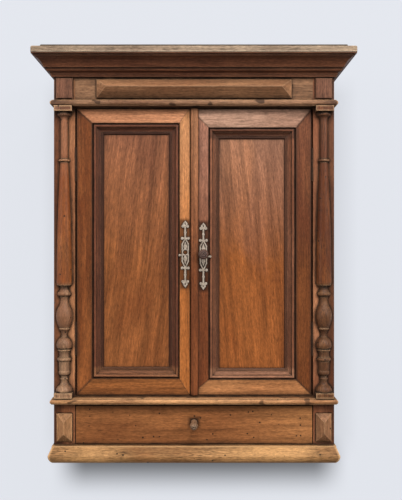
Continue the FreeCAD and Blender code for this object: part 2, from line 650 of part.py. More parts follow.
DOOR_TOP_EDGE = f"({DOOR_BOTTOM} + {DOOR_HEIGHT})"
for door, layout in DOORS.items():
    low, high = layout["edges"]
    first, last = layout["stiles"]
    top, bottom = f"{door}_top_rail", f"{door}_bottom_rail"
    width = f"({high} - {low})"
    members = {"top": (top, width, first, last), "bottom": (bottom, width, last, first),
               "first": (first, DOOR_HEIGHT, bottom, top), "last": (last, DOOR_HEIGHT, top, bottom)}
    names = {"top": "top_rail", "bottom": "bottom_rail"}
    names["first"] = "hinge_stile" if door == "left" else "meeting_stile"
    names["last"] = "meeting_stile" if door == "left" else "hinge_stile"
    inner = (f"({low} + {first})", f"({high} - {last})",
             f"({DOOR_BOTTOM} + {bottom})", f"({DOOR_TOP_EDGE} - {top})")
    inner_width = f"({inner[1]} - {inner[0]})"
    inner_height = f"({inner[3]} - {inner[2]})"
    lengths = []
    for side, x_axis, y_axis in FRAME_SIDES:
        own, length, before, after = members[side]
        drilled = door == "right" and side == "first"
        name = "spindle_stile_blank" if drilled else f"{door}_door_{names[side]}"
        member = run_of(name, frame_section(own), length, mitres(length, own, before, after))
        place(member, frame_corner(side, low, high, DOOR_BOTTOM, DOOR_TOP_EDGE), x_axis, y_axis)
        if drilled:
            stile_blank = member
        else:
            keep(member)
        run = inner_width if side in ("top", "bottom") else inner_height
        strip = run_of(f"{door}_moulding_{side}", moulding_section, run,
                       mitres(run, "moulding_width", "moulding_width", "moulding_width"))
        lengths.append(place(strip, frame_corner(side, *inner), x_axis, y_axis))
    group(f"{door}_door_moulding", lengths)
    reach = "(panel_groove - groove_play)"
    keep(board(f"{door}_door_panel", (f"{inner[0]} - {reach}", f"{inner[1]} + {reach}"),
               (f"{FRONT} + panel_depth", f"{FRONT} + panel_depth + panel_thickness"),
               (f"{inner[2]} - {reach}", f"{inner[3]} + {reach}")))

# Half-round bead planted along the meeting stile of the right door
right_low = DOORS["right"]["edges"][0]
bead = run_of("meeting_bead", [
    ("0", "0"), ("bead_width", "0"),
    ("bead_width", "bead_width * 0.08", -1, 0.6), ("0", "bead_width * 0.08")],
    DOOR_HEIGHT, [])
keep(place(bead, (right_low, FRONT, DOOR_TOP_EDGE), "-z", "+x"))

# Turn knob on its spindle, with the catch behind the right door

KNOB_X = f"({right_low} + bead_width + meeting_stile / 2)"
KNOB_Z = f"({DOOR_BOTTOM} + right_plate_rise)"
CATCH_FACE = f"({FRONT} + door_thickness + catch_gap)"
spindle_hole = rod("spindle_hole", (KNOB_X, FRONT, KNOB_Z),
                   "spindle_radius + spindle_play", "door_thickness", "+y")
keep(cut_away("right_door_meeting_stile", stile_blank, spindle_hole))

knob = turned("turn_knob", knob_profile(
    "spindle_radius", "door_thickness + catch_gap + plate_thickness", "knob_neck", "knob_head",
    "knob_reach"))
keep(place(knob, (KNOB_X, f"{FRONT} - plate_thickness", KNOB_Z), "+x", "+z"))
catch_bar = board("catch_bar", (f"{KNOB_X} - catch_width / 2", f"{KNOB_X} + catch_width / 2"),
                  (CATCH_FACE, f"{CATCH_FACE} + catch_thickness"),
                  (f"{KNOB_Z} - catch_width / 2", f"{KNOB_Z} + catch_length - catch_width / 2"))
catch_end = rod("catch_end", (KNOB_X, CATCH_FACE, f"{KNOB_Z} + catch_length - catch_width / 2"),
                "catch_width / 2", "catch_thickness", "+y")
keep(fused("turn_catch", [catch_bar, catch_end]))

# Butt hinges: leaves flat on the stile and the door edge, knuckles standing in the gap

AXIS_Y = f"({FRONT} - axis_forward)"
LEAF_START = f"({AXIS_Y} + knuckle_radius + knuckle_play)"
KNUCKLE = "(leaf_height / 3)"
HINGE_LEVELS = {"lower": f"({DOOR_BOTTOM} + hinge_inset)",
                "upper": f"({DOOR_TOP_EDGE} - hinge_inset - leaf_height)"}


def hinge_leaf(name, x, axis_x, level, knuckles):
    """One leaf: a plate, and for each knuckle a tab that carries a bored barrel."""
    plate = board(f"{name}_plate", x, (LEAF_START, f"{LEAF_START} + leaf_depth"),
                  (level, f"{level} + leaf_height"))
    solids = [plate]
    for number in knuckles:
        low = f"({level} + {number} * {KNUCKLE} + knuckle_play / 2)"
        high = f"({level} + {number + 1} * {KNUCKLE} - knuckle_play / 2)"
        solids.append(board(f"{name}_tab{number}", x, (AXIS_Y, LEAF_START), (low, high)))
        solids.append(rod(f"{name}_barrel{number}", (axis_x, AXIS_Y, low), "knuckle_radius",
                          f"{high} - {low}", "+z"))
    bore = rod(f"{name}_bore", (axis_x, AXIS_Y, level), "pin_radius + pin_play", "leaf_height", "+z")
    return cut_away(f"{name}_leaf", fused(f"{name}_solid", solids), bore)


frame_leaves = []
pins = []
for side, sign in SIDES:
    door_leaves = []
    axis_x = signed(sign, f"{OPENING} - hinge_gap / 2")
    for place_name, level in HINGE_LEVELS.items():
        hinge = f"{side}_{place_name}"
        frame_leaves.append(hinge_leaf(
            f"{hinge}_frame", on_side(sign, f"{OPENING} - leaf_thickness", OPENING), axis_x, level, (0, 2)))
        door_leaves.append(hinge_leaf(
            f"{hinge}_door", on_side(sign, f"{OPENING} - hinge_gap",
                                     f"{OPENING} - hinge_gap + leaf_thickness"), axis_x, level, (1,)))
        shaft = rod(f"{hinge}_shaft", (axis_x, AXIS_Y, level), "pin_radius", "leaf_height", "+z")
        head = rod(f"{hinge}_head", (axis_x, AXIS_Y, f"{level} + leaf_height"),
                   "knuckle_radius", "pin_head", "+z")
        pins.append(fused(f"{hinge}_pin", [shaft, head]))
    group(f"{side}_door_leaves", door_leaves)
group("hinge_frame_leaves", frame_leaves)
group("hinge_pins", pins)

# Pierced plates: a ring about the knob or its empty place; above and below it a tongue in a fan, a
# crosspiece, a stem with a knot, a pair of lobes and a pierced spear tip, all sawn from one sheet of metal


def spot(x, z, radius):
    return Part.Face(Part.Wire(Part.Circle(Vector(x, 0, z), Vector(0, -1, 0), radius).toShape()))


def strip(x0, z0, x1, z1, width):
    """A flat bar with square ends between two points."""
    start, end = Vector(x0, 0, z0), Vector(x1, 0, z1)
    across = (end - start).cross(Vector(0, 1, 0)).normalize() * (width / 2)
    corners = [start + across, end + across, end - across, start - across]
    return Part.Face(Part.makePolygon(corners + corners[:1]))


def kite(z0, z1, z2, half_width):
    """A pointed leaf on the middle line, widest at its second height."""
    corners = [Vector(0, 0, z0), Vector(half_width, 0, z1), Vector(0, 0, z2), Vector(-half_width, 0, z1)]
    return Part.Face(Part.makePolygon(corners + corners[:1]))


def pierced_plate(name, x_text, level_text, spur_x, spur_z):
    width, hole, thickness = worth("plate_width"), worth("plate_hole"), worth("plate_thickness")
    wide = width / 2
    bar = width * 0.19
    ball = width * 0.15
    ring = hole + bar * 0.6
    faces = [spot(0, 0, ring)]
    holes = [spot(0, 0, hole)]
    for reach in (worth("plate_above"), -worth("plate_below")):
        fan, cross, lobes = reach * 0.17, reach * 0.44, reach * 0.82
        knot = (cross + lobes) / 2
        eye = lobes + (reach - lobes) * 0.4
        faces.append(kite(0, cross * 0.42, cross * 0.78, wide * 0.45))
        faces.append(strip(0, cross, 0, eye, bar))
        faces.append(spot(0, knot, bar * 0.8))
        faces.append(strip(-wide + ball, cross, wide - ball, cross, bar))
        faces.append(strip(-wide + ball * 1.5, lobes, wide - ball * 1.5, lobes, bar))
        faces.append(kite(lobes - (reach - lobes) * 0.3, eye, reach, wide * 0.62))
        holes.append(spot(0, eye, bar * 0.42))
        for flank in (1, -1):
            arm = flank * (wide - ball)
            faces.append(spot(arm, cross, ball * 1.1))
            faces.append(spot(flank * (wide - ball * 1.5), lobes, ball * 1.1))
            faces.append(strip(0, cross, arm, fan * 1.5, bar * 0.75))
            faces.append(spot(arm, fan * 1.5, bar * 0.45))
            faces.append(strip(arm, fan * 1.5, arm, fan * 0.5, bar * 0.75))
            faces.append(spot(arm, fan * 0.5, bar * 0.45))
            faces.append(strip(arm, fan * 0.5, flank * ring * 0.8, 0, bar * 0.75))
    faces.append(strip(0, -ring * 0.7, spur_x, spur_z, bar * 0.75))
    faces.append(spot(spur_x, spur_z, ball * 0.9))
    through = Vector(0, -thickness, 0)
    solids = [face.extrude(through) for face in faces]
    cuts = [face.extrude(through) for face in holes]
    pierced = solids[0].multiFuse(solids[1:]).cut(cuts)
    plate = doc.addObject("Part::Feature", name)
    plate.Shape = pierced.removeSplitter()
    plate.Placement.Base = Vector(worth(x_text), worth(FRONT), worth(level_text))
    return keep(plate)


PLATE_WIDTH = worth("plate_width")
pierced_plate("left_plate", f"{MEETING} - meeting_stile / 2 + plate_shift",
              f"{DOOR_BOTTOM} + left_plate_rise", -0.64 * PLATE_WIDTH, -0.34 * PLATE_WIDTH)
pierced_plate("right_plate", KNOB_X, KNOB_Z, 0.8 * PLATE_WIDTH, -0.24 * PLATE_WIDTH)

# Build, look every object over and write the sub-parts

doc.recompute()
for thing in doc.Objects:
    if "Invalid" in thing.State or "Error" in thing.State:
        raise RuntimeError(f"{thing.Name} failed: {thing.State}")
for node in nodes:
    if node.Shape.isNull() or not node.Shape.isValid():
        raise RuntimeError(f"{node.Label} has no valid shape")
os.makedirs("parts", exist_ok=True)
for node in nodes:
    node.Shape.exportStep(f"parts/{node.Label}.step")
    box = node.Shape.BoundBox
    print(f"{node.Label}: {len(node.Shape.Solids)} solids, {box.XLength:.1f} x {box.YLength:.1f} x "
          f"{box.ZLength:.1f}, volume {node.Shape.Volume:.0f}")
print(len(nodes), "sub-parts")
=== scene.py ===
import math

import bmesh
import bpy
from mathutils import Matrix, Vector


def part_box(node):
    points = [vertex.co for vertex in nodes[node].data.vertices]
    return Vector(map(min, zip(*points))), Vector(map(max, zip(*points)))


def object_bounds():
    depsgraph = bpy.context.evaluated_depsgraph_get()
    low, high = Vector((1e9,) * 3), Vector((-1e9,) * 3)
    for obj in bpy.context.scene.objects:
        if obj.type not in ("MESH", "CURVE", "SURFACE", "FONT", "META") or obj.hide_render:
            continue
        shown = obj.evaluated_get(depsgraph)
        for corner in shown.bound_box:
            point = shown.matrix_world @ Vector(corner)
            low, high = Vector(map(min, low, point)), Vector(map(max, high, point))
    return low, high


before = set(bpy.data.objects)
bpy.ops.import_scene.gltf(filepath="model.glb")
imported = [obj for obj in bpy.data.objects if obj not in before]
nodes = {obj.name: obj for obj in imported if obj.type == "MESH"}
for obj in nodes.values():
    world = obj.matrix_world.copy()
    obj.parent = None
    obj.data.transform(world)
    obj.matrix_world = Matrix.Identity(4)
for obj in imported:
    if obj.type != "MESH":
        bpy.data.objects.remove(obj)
cad_box = [list(corner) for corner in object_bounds()]

# Inside of the case: floors, back, shelf, cleats, runners and hanging rail.
# Plain sawn boards, never stained or waxed, dry and brown with age.
# They are nailed and glued between the two sides, and the rail takes the wall screws.


def put(tree, kind, values=None, **settings):
    """A node in a tree; each value is a plain setting of a socket or another node's output."""
    made = tree.nodes.new(kind)
    for name, setting in settings.items():
        setattr(made, name, setting)
    for name, value in (values or {}).items():
        socket = made.inputs[name]
        if isinstance(value, bpy.types.NodeSocket):
            tree.links.new(value, socket)
        elif socket.type == "RGBA":
            socket.default_value = (*value, 1.0)
        else:
            socket.default_value = value
    return made


def combined(tree, operation, first, second=0.5, clamp=False):
    """Two values joined by one step of arithmetic."""
    made = put(tree, "ShaderNodeMath", {0: first, 1: second}, operation=operation, use_clamp=clamp)
    return made.outputs[0]


def times(tree, first, second, clamp=False):
    """Two values multiplied."""
    return combined(tree, "MULTIPLY", first, second, clamp)


def spread(tree, value, low, high, new_low=0.0, new_high=1.0, curve="LINEAR"):
    """A value stretched from one range to another and held inside it; a range may run downwards."""
    made = put(tree, "ShaderNodeMapRange", {"Value": value, "From Min": low, "From Max": high,
                                            "To Min": new_low, "To Max": new_high}, interpolation_type=curve)
    return made.outputs["Result"]


def tint(tree, mask, first, second, blend="MIX"):
    """Two colours mixed by a mask; a Mix node has its colours in sockets 6 and 7."""
    made = put(tree, "ShaderNodeMix", {0: mask, 6: first, 7: second}, data_type="RGBA", blend_type=blend)
    return made.outputs[2]


def vectors(tree, operation, first, second=(0.0, 0.0, 0.0)):
    """Two positions joined by one step of arithmetic on each axis."""
    return put(tree, "ShaderNodeVectorMath", {0: first, 1: second}, operation=operation).outputs[0]


def mottle(tree, position, per_metre, detail=3.0, roughness=0.55, distortion=0.0):
    """Cloudy noise, with so many clouds to a metre along each axis."""
    stretched = vectors(tree, "MULTIPLY", position, per_metre)
    made = put(tree, "ShaderNodeTexNoise", {"Vector": stretched, "Scale": 1.0, "Detail": detail,
                                            "Roughness": roughness, "Distortion": distortion})
    return made.outputs["Fac"]


def shared_effect(name, takes, gives):
    """An empty shader group with named sockets, and the sockets of its two end nodes."""
    tree = bpy.data.node_groups.new(name, "ShaderNodeTree")
    for direction, sockets in (("INPUT", takes), ("OUTPUT", gives)):
        for socket in sockets:
            kind = "NodeSocketVector" if socket in ("Position", "Soft Normal") else "NodeSocketFloat"
            tree.interface.new_socket(socket, in_out=direction, socket_type=kind)
    return tree, tree.nodes.new("NodeGroupInput").outputs, tree.nodes.new("NodeGroupOutput").inputs


def effect(tree, group, values):
    """A shared effect placed in a material with its own values."""
    return put(tree, "ShaderNodeGroup", values, node_tree=group).outputs


def shaded(colour, amount):
    """A colour made lighter or darker."""
    return tuple(channel * amount for channel in colour)


def toned(colour, amounts):
    """A colour with each channel made lighter or darker by its own amount."""
    return tuple(channel * amount for channel, amount in zip(colour, amounts))


# Wood figure, with the grain along Z: broad bands, flame-shaped year rings, fine streaks,
# short open pores, cloudy patches and a fine uneven grit of old wax
WANDER_PER_METRE = (6, 6, 3)
SWAY = (0.02, 0.02, 0.0)
RING_TURNS = (190, 140, 0)
SWELLS_PER_METRE = (9, 9, 1.7)
RING_WAVE = (-0.1, 1.0)
wood_figure, given, result = shared_effect(
    "wood_figure", ["Position", "Swirl"], ["Band", "Ring", "Streak", "Pore", "Cloud", "Grit"])
position = given["Position"]
wander = put(wood_figure, "ShaderNodeTexNoise",
             {"Vector": vectors(wood_figure, "MULTIPLY", position, WANDER_PER_METRE), "Scale": 1.0,
              "Detail": 2.0}).outputs["Color"]
swayed = put(wood_figure, "ShaderNodeVectorMath", {0: wander, 1: SWAY, 2: position},
             operation="MULTIPLY_ADD").outputs[0]
across = put(wood_figure, "ShaderNodeVectorMath", {0: swayed, 1: RING_TURNS},
             operation="DOT_PRODUCT").outputs["Value"]
swell = mottle(wood_figure, position, SWELLS_PER_METRE, detail=2.0, roughness=0.5)
phase = combined(wood_figure, "ADD", across, times(wood_figure, swell, given["Swirl"]))
ring = combined(wood_figure, "SINE", phase)
wood_figure.links.new(spread(wood_figure, ring, *RING_WAVE), result["Ring"])


def figure_layer(socket, source, per_metre, detail, roughness, thin, full, distortion=0.0):
    """One layer of the figure: noise that shows from its thin level up to its full one."""
    noise = mottle(wood_figure, source, per_metre, detail, roughness, distortion)
    wood_figure.links.new(spread(wood_figure, noise, thin, full), result[socket])


figure_layer("Band", swayed, (75, 75, 3.2), detail=4.0, roughness=0.62, thin=0.32, full=0.68, distortion=0.5)
figure_layer("Streak", swayed, (420, 420, 9), detail=3.0, roughness=0.7, thin=0.3, full=0.7)
figure_layer("Pore", swayed, (900, 900, 75), detail=2.0, roughness=0.5, thin=0.5, full=0.66)
figure_layer("Cloud", position, (13, 13, 5), detail=3.0, roughness=0.6, thin=0.3, full=0.7, distortion=0.4)
figure_layer("Grit", position, (480, 480, 130), detail=5.0, roughness=0.8, thin=0.3, full=0.7)

# Edges where a rounded normal leaves the flat one, broken up by patches: rubbed wear, and on some pieces
# a painted highlight or a painted gap shade, by the colour the edges are given
ROUNDING = (0.985, 0.8)
RUB_PATCHES_PER_METRE = (60, 60, 60)
RUB_NOISE = (0.45, 0.85)
SHARP_EDGE_ROUND = 0.0009
edge_wear_and_painted_light, given, result = shared_effect(
    "edge_wear_and_painted_light", ["Position", "Reach", "Patchiness"], ["Mask", "Soft Normal"])
softened = put(edge_wear_and_painted_light, "ShaderNodeBevel", {"Radius": given["Reach"]}, samples=6).outputs["Normal"]
flat_normal = put(edge_wear_and_painted_light, "ShaderNodeNewGeometry").outputs["Normal"]
agreement = put(edge_wear_and_painted_light, "ShaderNodeVectorMath", {0: softened, 1: flat_normal},
                operation="DOT_PRODUCT").outputs["Value"]
bend = spread(edge_wear_and_painted_light, agreement, *ROUNDING)
patch = mottle(edge_wear_and_painted_light, given["Position"], RUB_PATCHES_PER_METRE, detail=4.0, roughness=0.65)
worn_patch = spread(edge_wear_and_painted_light, combined(edge_wear_and_painted_light, "ADD", patch, given["Patchiness"]), *RUB_NOISE)
edge_wear_and_painted_light.links.new(times(edge_wear_and_painted_light, bend, worn_patch, True), result["Mask"])
small_round = put(edge_wear_and_painted_light, "ShaderNodeBevel", {"Radius": SHARP_EDGE_ROUND}, samples=4)
edge_wear_and_painted_light.links.new(small_round.outputs["Normal"], result["Soft Normal"])

# Dirt, old wax and painted shade in corners: thick in the narrow ones, a haze in the wide hollows
NARROW_SHARE = 0.3
HAZE_SKY = (0.96, 0.42)
HAZE_DEPTH = 0.9
LINE_SKY = (0.97, 0.72)
SMEARS_PER_METRE = (90, 90, 50)
SMEAR_NOISE = (0.25, 0.6)
THIN_SMEAR = 0.65
dirt_and_corner_shade, given, result = shared_effect("dirt_and_corner_shade", ["Position", "Reach"], ["Mask"])
narrow_reach = times(dirt_and_corner_shade, given["Reach"], NARROW_SHARE)
wide_sky, narrow_sky = (
    put(dirt_and_corner_shade, "ShaderNodeAmbientOcclusion", {"Distance": reach}, samples=8).outputs["AO"]
    for reach in (given["Reach"], narrow_reach))
haze = spread(dirt_and_corner_shade, wide_sky, *HAZE_SKY, 0.0, HAZE_DEPTH)
line = spread(dirt_and_corner_shade, narrow_sky, *LINE_SKY)
hidden = combined(dirt_and_corner_shade, "MAXIMUM", haze, line)
cloudy = mottle(dirt_and_corner_shade, given["Position"], SMEARS_PER_METRE)
smear = spread(dirt_and_corner_shade, cloudy, *SMEAR_NOISE, THIN_SMEAR, 1.0)
dirt_and_corner_shade.links.new(times(dirt_and_corner_shade, hidden, smear, True), result["Mask"])

# Worm holes: small round dots, in some places many and in others none
WORM_CELLS_PER_METRE = 95.0
HOLE_EDGE = (0.17, 0.11)
WORM_REGIONS_PER_METRE = (9, 9, 9)
REGION_NOISE = (0.35, 0.65)
worm_holes, given, result = shared_effect("worm_holes", ["Position", "Plenty"], ["Mask"])
dots = put(worm_holes, "ShaderNodeTexVoronoi", {"Vector": given["Position"], "Scale": WORM_CELLS_PER_METRE})
inside_dot = spread(worm_holes, dots.outputs["Distance"], *HOLE_EDGE)
chance = put(worm_holes, "ShaderNodeSeparateColor", {"Color": dots.outputs["Color"]}).outputs["Red"]
region = mottle(worm_holes, given["Position"], WORM_REGIONS_PER_METRE, detail=2.0)
limit = times(worm_holes, spread(worm_holes, region, *REGION_NOISE), given["Plenty"])
picked = combined(worm_holes, "LESS_THAN", chance, limit)
worm_holes.links.new(times(worm_holes, inside_dot, picked, True), result["Mask"])

# Chips knocked out of an edge, longer along X
CHIPS_PER_METRE = (38, 70, 70)
CHIP_NOISE = (0.65, 0.69)
knocked_chips, given, result = shared_effect("knocked_chips", ["Position", "Plenty"], ["Mask"])
bumps = mottle(knocked_chips, given["Position"], CHIPS_PER_METRE, detail=1.0)
knocked_chips.links.new(spread(knocked_chips, bumps, *CHIP_NOISE, 0.0, given["Plenty"]), result["Mask"])

# A stain that turns to another between two places along an axis, with an uneven edge
UNEVEN_SHARE = 0.43
turning_stain, given, result = shared_effect("turning_stain", ["Along", "Cloud", "Start", "End"], ["Mask"])
stretch = combined(turning_stain, "SUBTRACT", given["End"], given["Start"])
uneven = times(turning_stain, given["Cloud"], times(turning_stain, stretch, UNEVEN_SHARE))
reached = combined(turning_stain, "SUBTRACT", given["Along"], uneven)
turning_stain.links.new(spread(turning_stain, reached, given["Start"], given["End"]), result["Mask"])

# The turn that lays a board's grain along an axis, and how far on in the log the next board is cut
QUARTER_TURN = math.radians(90)
ALONG = {"x": (0.0, QUARTER_TURN, 0.0), "y": (QUARTER_TURN, 0.0, 0.0), "z": (0.0, 0.0, 0.0)}
NEXT_CUT = (0.37, 0.53, 0.71)
BOARDS_CUT = []


def grain_along(tree, place, axis, cut, lean=0.0):
    """The position in a board whose grain runs along one axis, or leans from it by some degrees, cut from
    its own place in the log."""
    across_turn, about_turn, up_turn = ALONG[axis]
    turned = (across_turn, about_turn - math.radians(lean), up_turn)
    moved = tuple(step * cut for step in NEXT_CUT)
    log = put(tree, "ShaderNodeMapping", {"Vector": place, "Rotation": turned, "Location": moved})
    return log.outputs["Vector"]


def beyond_box(tree, place, name):
    """How far a place lies beyond each pair of sides of a piece's box; inside, it is less than nothing."""
    low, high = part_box(name)
    offset = vectors(tree, "SUBTRACT", place, tuple((low + high) / 2))
    beyond = vectors(tree, "SUBTRACT", vectors(tree, "ABSOLUTE", offset), tuple((high - low) / 2))
    return put(tree, "ShaderNodeSeparateXYZ", {0: beyond}).outputs


def grain_round(tree, place, name, cut):
    """The position in four mitred lengths, level in the upper and lower ones, and how far in it lies.
    A Mix node has its vectors in sockets 4 and 5."""
    beyond = beyond_box(tree, place, name)
    level = combined(tree, "GREATER_THAN", beyond["Z"], beyond["X"])
    upright_grain = grain_along(tree, place, "z", cut)
    level_grain = grain_along(tree, place, "x", cut)
    grain = put(tree, "ShaderNodeMix", {0: level, 4: upright_grain, 5: level_grain}, data_type="VECTOR")
    nearest = combined(tree, "MAXIMUM", beyond["X"], beyond["Z"])
    return grain.outputs[1], times(tree, nearest, -1.0)


def away_from(tree, place, name):
    """How far a place lies outside a piece's box."""
    beyond = beyond_box(tree, place, name)
    return combined(tree, "MAXIMUM", beyond["Y"], combined(tree, "MAXIMUM", beyond["X"], beyond["Z"]))


# How much lighter or darker than the stain each part of the figure is, and how strongly it shows
DARK_BAND = 0.68
LIGHT_BAND = 1.48
RING_SHADE = 0.42
LINE_SHADE = 0.2
STREAK_DEPTH = 0.6
DARK_PATCH = (0.55, 0.44, 0.385)
DARK_PATCH_CLOUD = (0.55, 0.0)
DARK_PATCH_DEPTH = 1.8
PALE_PATCH = (1.5, 1.59, 1.59)
PALE_PATCH_CLOUD = (0.5, 1.0)
PALE_PATCH_DEPTH = 1.2
DARK_GRIT = 0.55
LIGHT_GRIT = 1.45


def stained(tree, figure, stain, rings, contrast, flecks, blotch):
    """The colour of stained wood before any wear."""
    dark_line = shaded(stain, LINE_SHADE)
    colour = tint(tree, figure["Band"], shaded(stain, DARK_BAND), shaded(stain, LIGHT_BAND))
    colour = tint(tree, times(tree, figure["Ring"], rings * contrast), colour, shaded(stain, RING_SHADE))
    lines = spread(tree, figure["Streak"], 0.0, 1.0, STREAK_DEPTH * contrast, 0.0)
    colour = tint(tree, lines, colour, dark_line)
    colour = tint(tree, times(tree, figure["Pore"], flecks * contrast), colour, dark_line)
    dark_patch = spread(tree, figure["Cloud"], *DARK_PATCH_CLOUD, 0.0, DARK_PATCH_DEPTH * blotch)
    colour = tint(tree, dark_patch, colour, toned(stain, DARK_PATCH))
    pale_patch = spread(tree, figure["Cloud"], *PALE_PATCH_CLOUD, 0.0, PALE_PATCH_DEPTH * blotch)
    colour = tint(tree, pale_patch, colour, toned(stain, PALE_PATCH))
    grit = spread(tree, figure["Grit"], 0.0, 1.0, DARK_GRIT, LIGHT_GRIT)
    return tint(tree, 1.0, colour, grit, "MULTIPLY")


# Wear, dirt and painted shade: places in metres, shares of the full effect, and colours
HOLLOW = (0.008, 0.0185)
HOLLOW_DEPTH = 0.8
HOLLOW_SHADE = 0.12
HAND_REACH = (0.006, -0.001)
HAND_DEPTH = 0.95
HAND_SHADE = 0.2
RUB_SHIFT = 0.3
RUB_STRENGTH = 1.4
DIRT_AND_SHADE = (0.014, 0.008, 0.005)
DIRT_DULLS = 0.3
HOLE_INSIDE = (0.012, 0.007, 0.004)
CHIP_INSIDE = (0.03, 0.014, 0.007)
STREAK_HEIGHT = 0.35
PORE_HEIGHT = 0.5
STREAK_DULLS = 0.14
RELIEF = 0.0006
RELIEF_STRENGTH = 0.4


def wood(name, stain, grain, bare=(0.5, 0.3, 0.16), rub=0.0, rub_reach=0.004, dirt_and_shade=0.95, dirt_and_shade_reach=0.02,
         holes=0.0, chips=0.0, polish=0.42, sheen=0.12, swirl=14.0, rings=0.3, contrast=1.0, blotch=0.25,
         flecks=0.4, lean=0.0, zones=None, mitred=None, handled=None):
    """A board's finish: stained wood with its grain along one axis, its edges given the bare colour, which is
    rubbed bare wood and on some boards a painted highlight or a painted gap shade, and dark with dirt and
    painted shade in its corners.  Each call is a new board, with its grain cut from another place.
    The stain can turn to another colour between two places along an axis, its zones.  It can be darker
    towards the inside of four mitred lengths, a painted shade with dirt, and be dark round a fitting that
    is handled."""
    material = bpy.data.materials.new(name)
    material.use_nodes = True
    tree = material.node_tree
    shader = tree.nodes["Principled BSDF"]
    BOARDS_CUT.append(name)
    cut = len(BOARDS_CUT)
    place = put(tree, "ShaderNodeTexCoord").outputs["Object"]
    if mitred:
        position, inward = grain_round(tree, place, mitred, cut)
    else:
        position = grain_along(tree, place, grain, cut, lean)
    figure = effect(tree, wood_figure, {"Position": position, "Swirl": swirl})
    edge = effect(tree, edge_wear_and_painted_light, {"Position": position, "Reach": rub_reach,
                                      "Patchiness": rub - RUB_SHIFT})
    corner = effect(tree, dirt_and_corner_shade, {"Position": position, "Reach": dirt_and_shade_reach})
    colour = stained(tree, figure, stain, rings, contrast, flecks, blotch)
    if mitred:
        # Darker towards the panel: painted shade, with some dirt.
        panel_side_shade = spread(tree, inward, *HOLLOW, 0.0, HOLLOW_DEPTH)
        colour = tint(tree, panel_side_shade, colour, shaded(stain, HOLLOW_SHADE))
    first_stain = colour
    for (axis, start, end), new_stain in (zones or {}).items():
        along = put(tree, "ShaderNodeSeparateXYZ", {0: place}).outputs[axis]
        turned = effect(tree, turning_stain, {"Along": along, "Cloud": figure["Cloud"],
                                              "Start": start, "End": end})
        change = tuple(new / old for new, old in zip(new_stain, stain))
        colour = tint(tree, turned["Mask"], colour, tint(tree, 1.0, first_stain, change, "MULTIPLY"))
    if handled:
        touched = spread(tree, away_from(tree, place, handled), *HAND_REACH, 0.0, HAND_DEPTH)
        colour = tint(tree, touched, colour, shaded(stain, HAND_SHADE))
    if rub > 0:
        # The edge colour: rubbed wear, and on some pieces a painted highlight or painted gap shade.
        colour = tint(tree, times(tree, edge["Mask"], min(1.0, rub * RUB_STRENGTH)), colour, bare)
    # Corners darken with dirt and painted shade.
    dirt_and_shade_mask = times(tree, corner["Mask"], dirt_and_shade)
    colour = tint(tree, dirt_and_shade_mask, colour, DIRT_AND_SHADE)
    height = times(tree, figure["Streak"], STREAK_HEIGHT)
    height = combined(tree, "SUBTRACT", height, times(tree, figure["Pore"], PORE_HEIGHT))
    gloss = spread(tree, figure["Streak"], 0.0, 1.0, polish + STREAK_DULLS, polish)
    gloss = combined(tree, "ADD", gloss, times(tree, dirt_and_shade_mask, DIRT_DULLS), True)
    for group, plenty, inside in ((worm_holes, holes, HOLE_INSIDE), (knocked_chips, chips, CHIP_INSIDE)):
        if plenty > 0:
            missing = effect(tree, group, {"Position": place, "Plenty": plenty})["Mask"]
            colour = tint(tree, missing, colour, inside)
            height = combined(tree, "SUBTRACT", height, missing)
    relief = put(tree, "ShaderNodeBump", {"Height": height, "Strength": RELIEF_STRENGTH, "Distance": RELIEF,
                                          "Normal": edge["Soft Normal"]})
    tree.links.new(colour, shader.inputs["Base Color"])
    tree.links.new(gloss, shader.inputs["Roughness"])
    tree.links.new(relief.outputs["Normal"], shader.inputs["Normal"])
    shader.inputs["Specular IOR Level"].default_value = sheen
    return material


def dress(material, *names):
    """Gives CAD pieces their finish."""
    for name in names:
        nodes[name].data.materials.clear()
        nodes[name].data.materials.append(material)


RAW = (0.36, 0.205, 0.105)
dress(wood("raw_boards_long", RAW, "x", polish=0.6, holes=0.15),
      "base_board", "cupboard_floor", "case_top", "shelf")
dress(wood("raw_boards_tall", RAW, "z", dirt_and_shade=0.6, polish=0.62, holes=0.2), "back_boards")
dress(wood("raw_rail", RAW, "x", dirt_and_shade=0.6, polish=0.62, holes=0.2), "hanging_rail")
dress(wood("raw_boards_deep", RAW, "y", polish=0.62), "shelf_cleats", "drawer_runners")

# Sides, stiles and rails of the case front: the stained show wood.
# Brown wood under old wax, with dark streaks and some worm holes.
# The stiles are glued to the front edges of the sides, and the rails run between them.
CASE = (0.2, 0.066, 0.026)
CASE_BARE = (0.48, 0.26, 0.12)
# The dark colour of stile and door-frame edges: grime and painted gap shade.
GRIME_AND_GAP_SHADE = (0.03, 0.015, 0.008)
dress(wood("case_sides", CASE, "z", CASE_BARE, rub=0.3, holes=0.12), "left_side", "right_side")


def dark_ends(start, end, stain):
    """Zones that turn darker towards both sides of the cabinet."""
    return {("X", -start, -end): stain, ("X", start, end): stain}


STILE_WEAR = {"rub": 0.45, "rub_reach": 0.006, "holes": 0.2, "blotch": 0.5}
# The outer strip of each stile is darker: grime, and beside the left column a painted shadow of it.
OUTER_STRIP_GRIME_AND_SHADE = dark_ends(start=0.23, end=0.24, stain=(0.17, 0.06, 0.025))
dress(wood("left_stile_face", (0.47, 0.195, 0.085), "z", GRIME_AND_GAP_SHADE, zones=OUTER_STRIP_GRIME_AND_SHADE, **STILE_WEAR),
      "left_stile")
dress(wood("right_stile_face", (0.36, 0.142, 0.066), "z", GRIME_AND_GAP_SHADE, zones=OUTER_STRIP_GRIME_AND_SHADE, **STILE_WEAR),
      "right_stile")
dress(wood("case_rails", (0.3, 0.13, 0.055), "x", CASE_BARE, rub=0.3), "bottom_rail", "sill_rail")

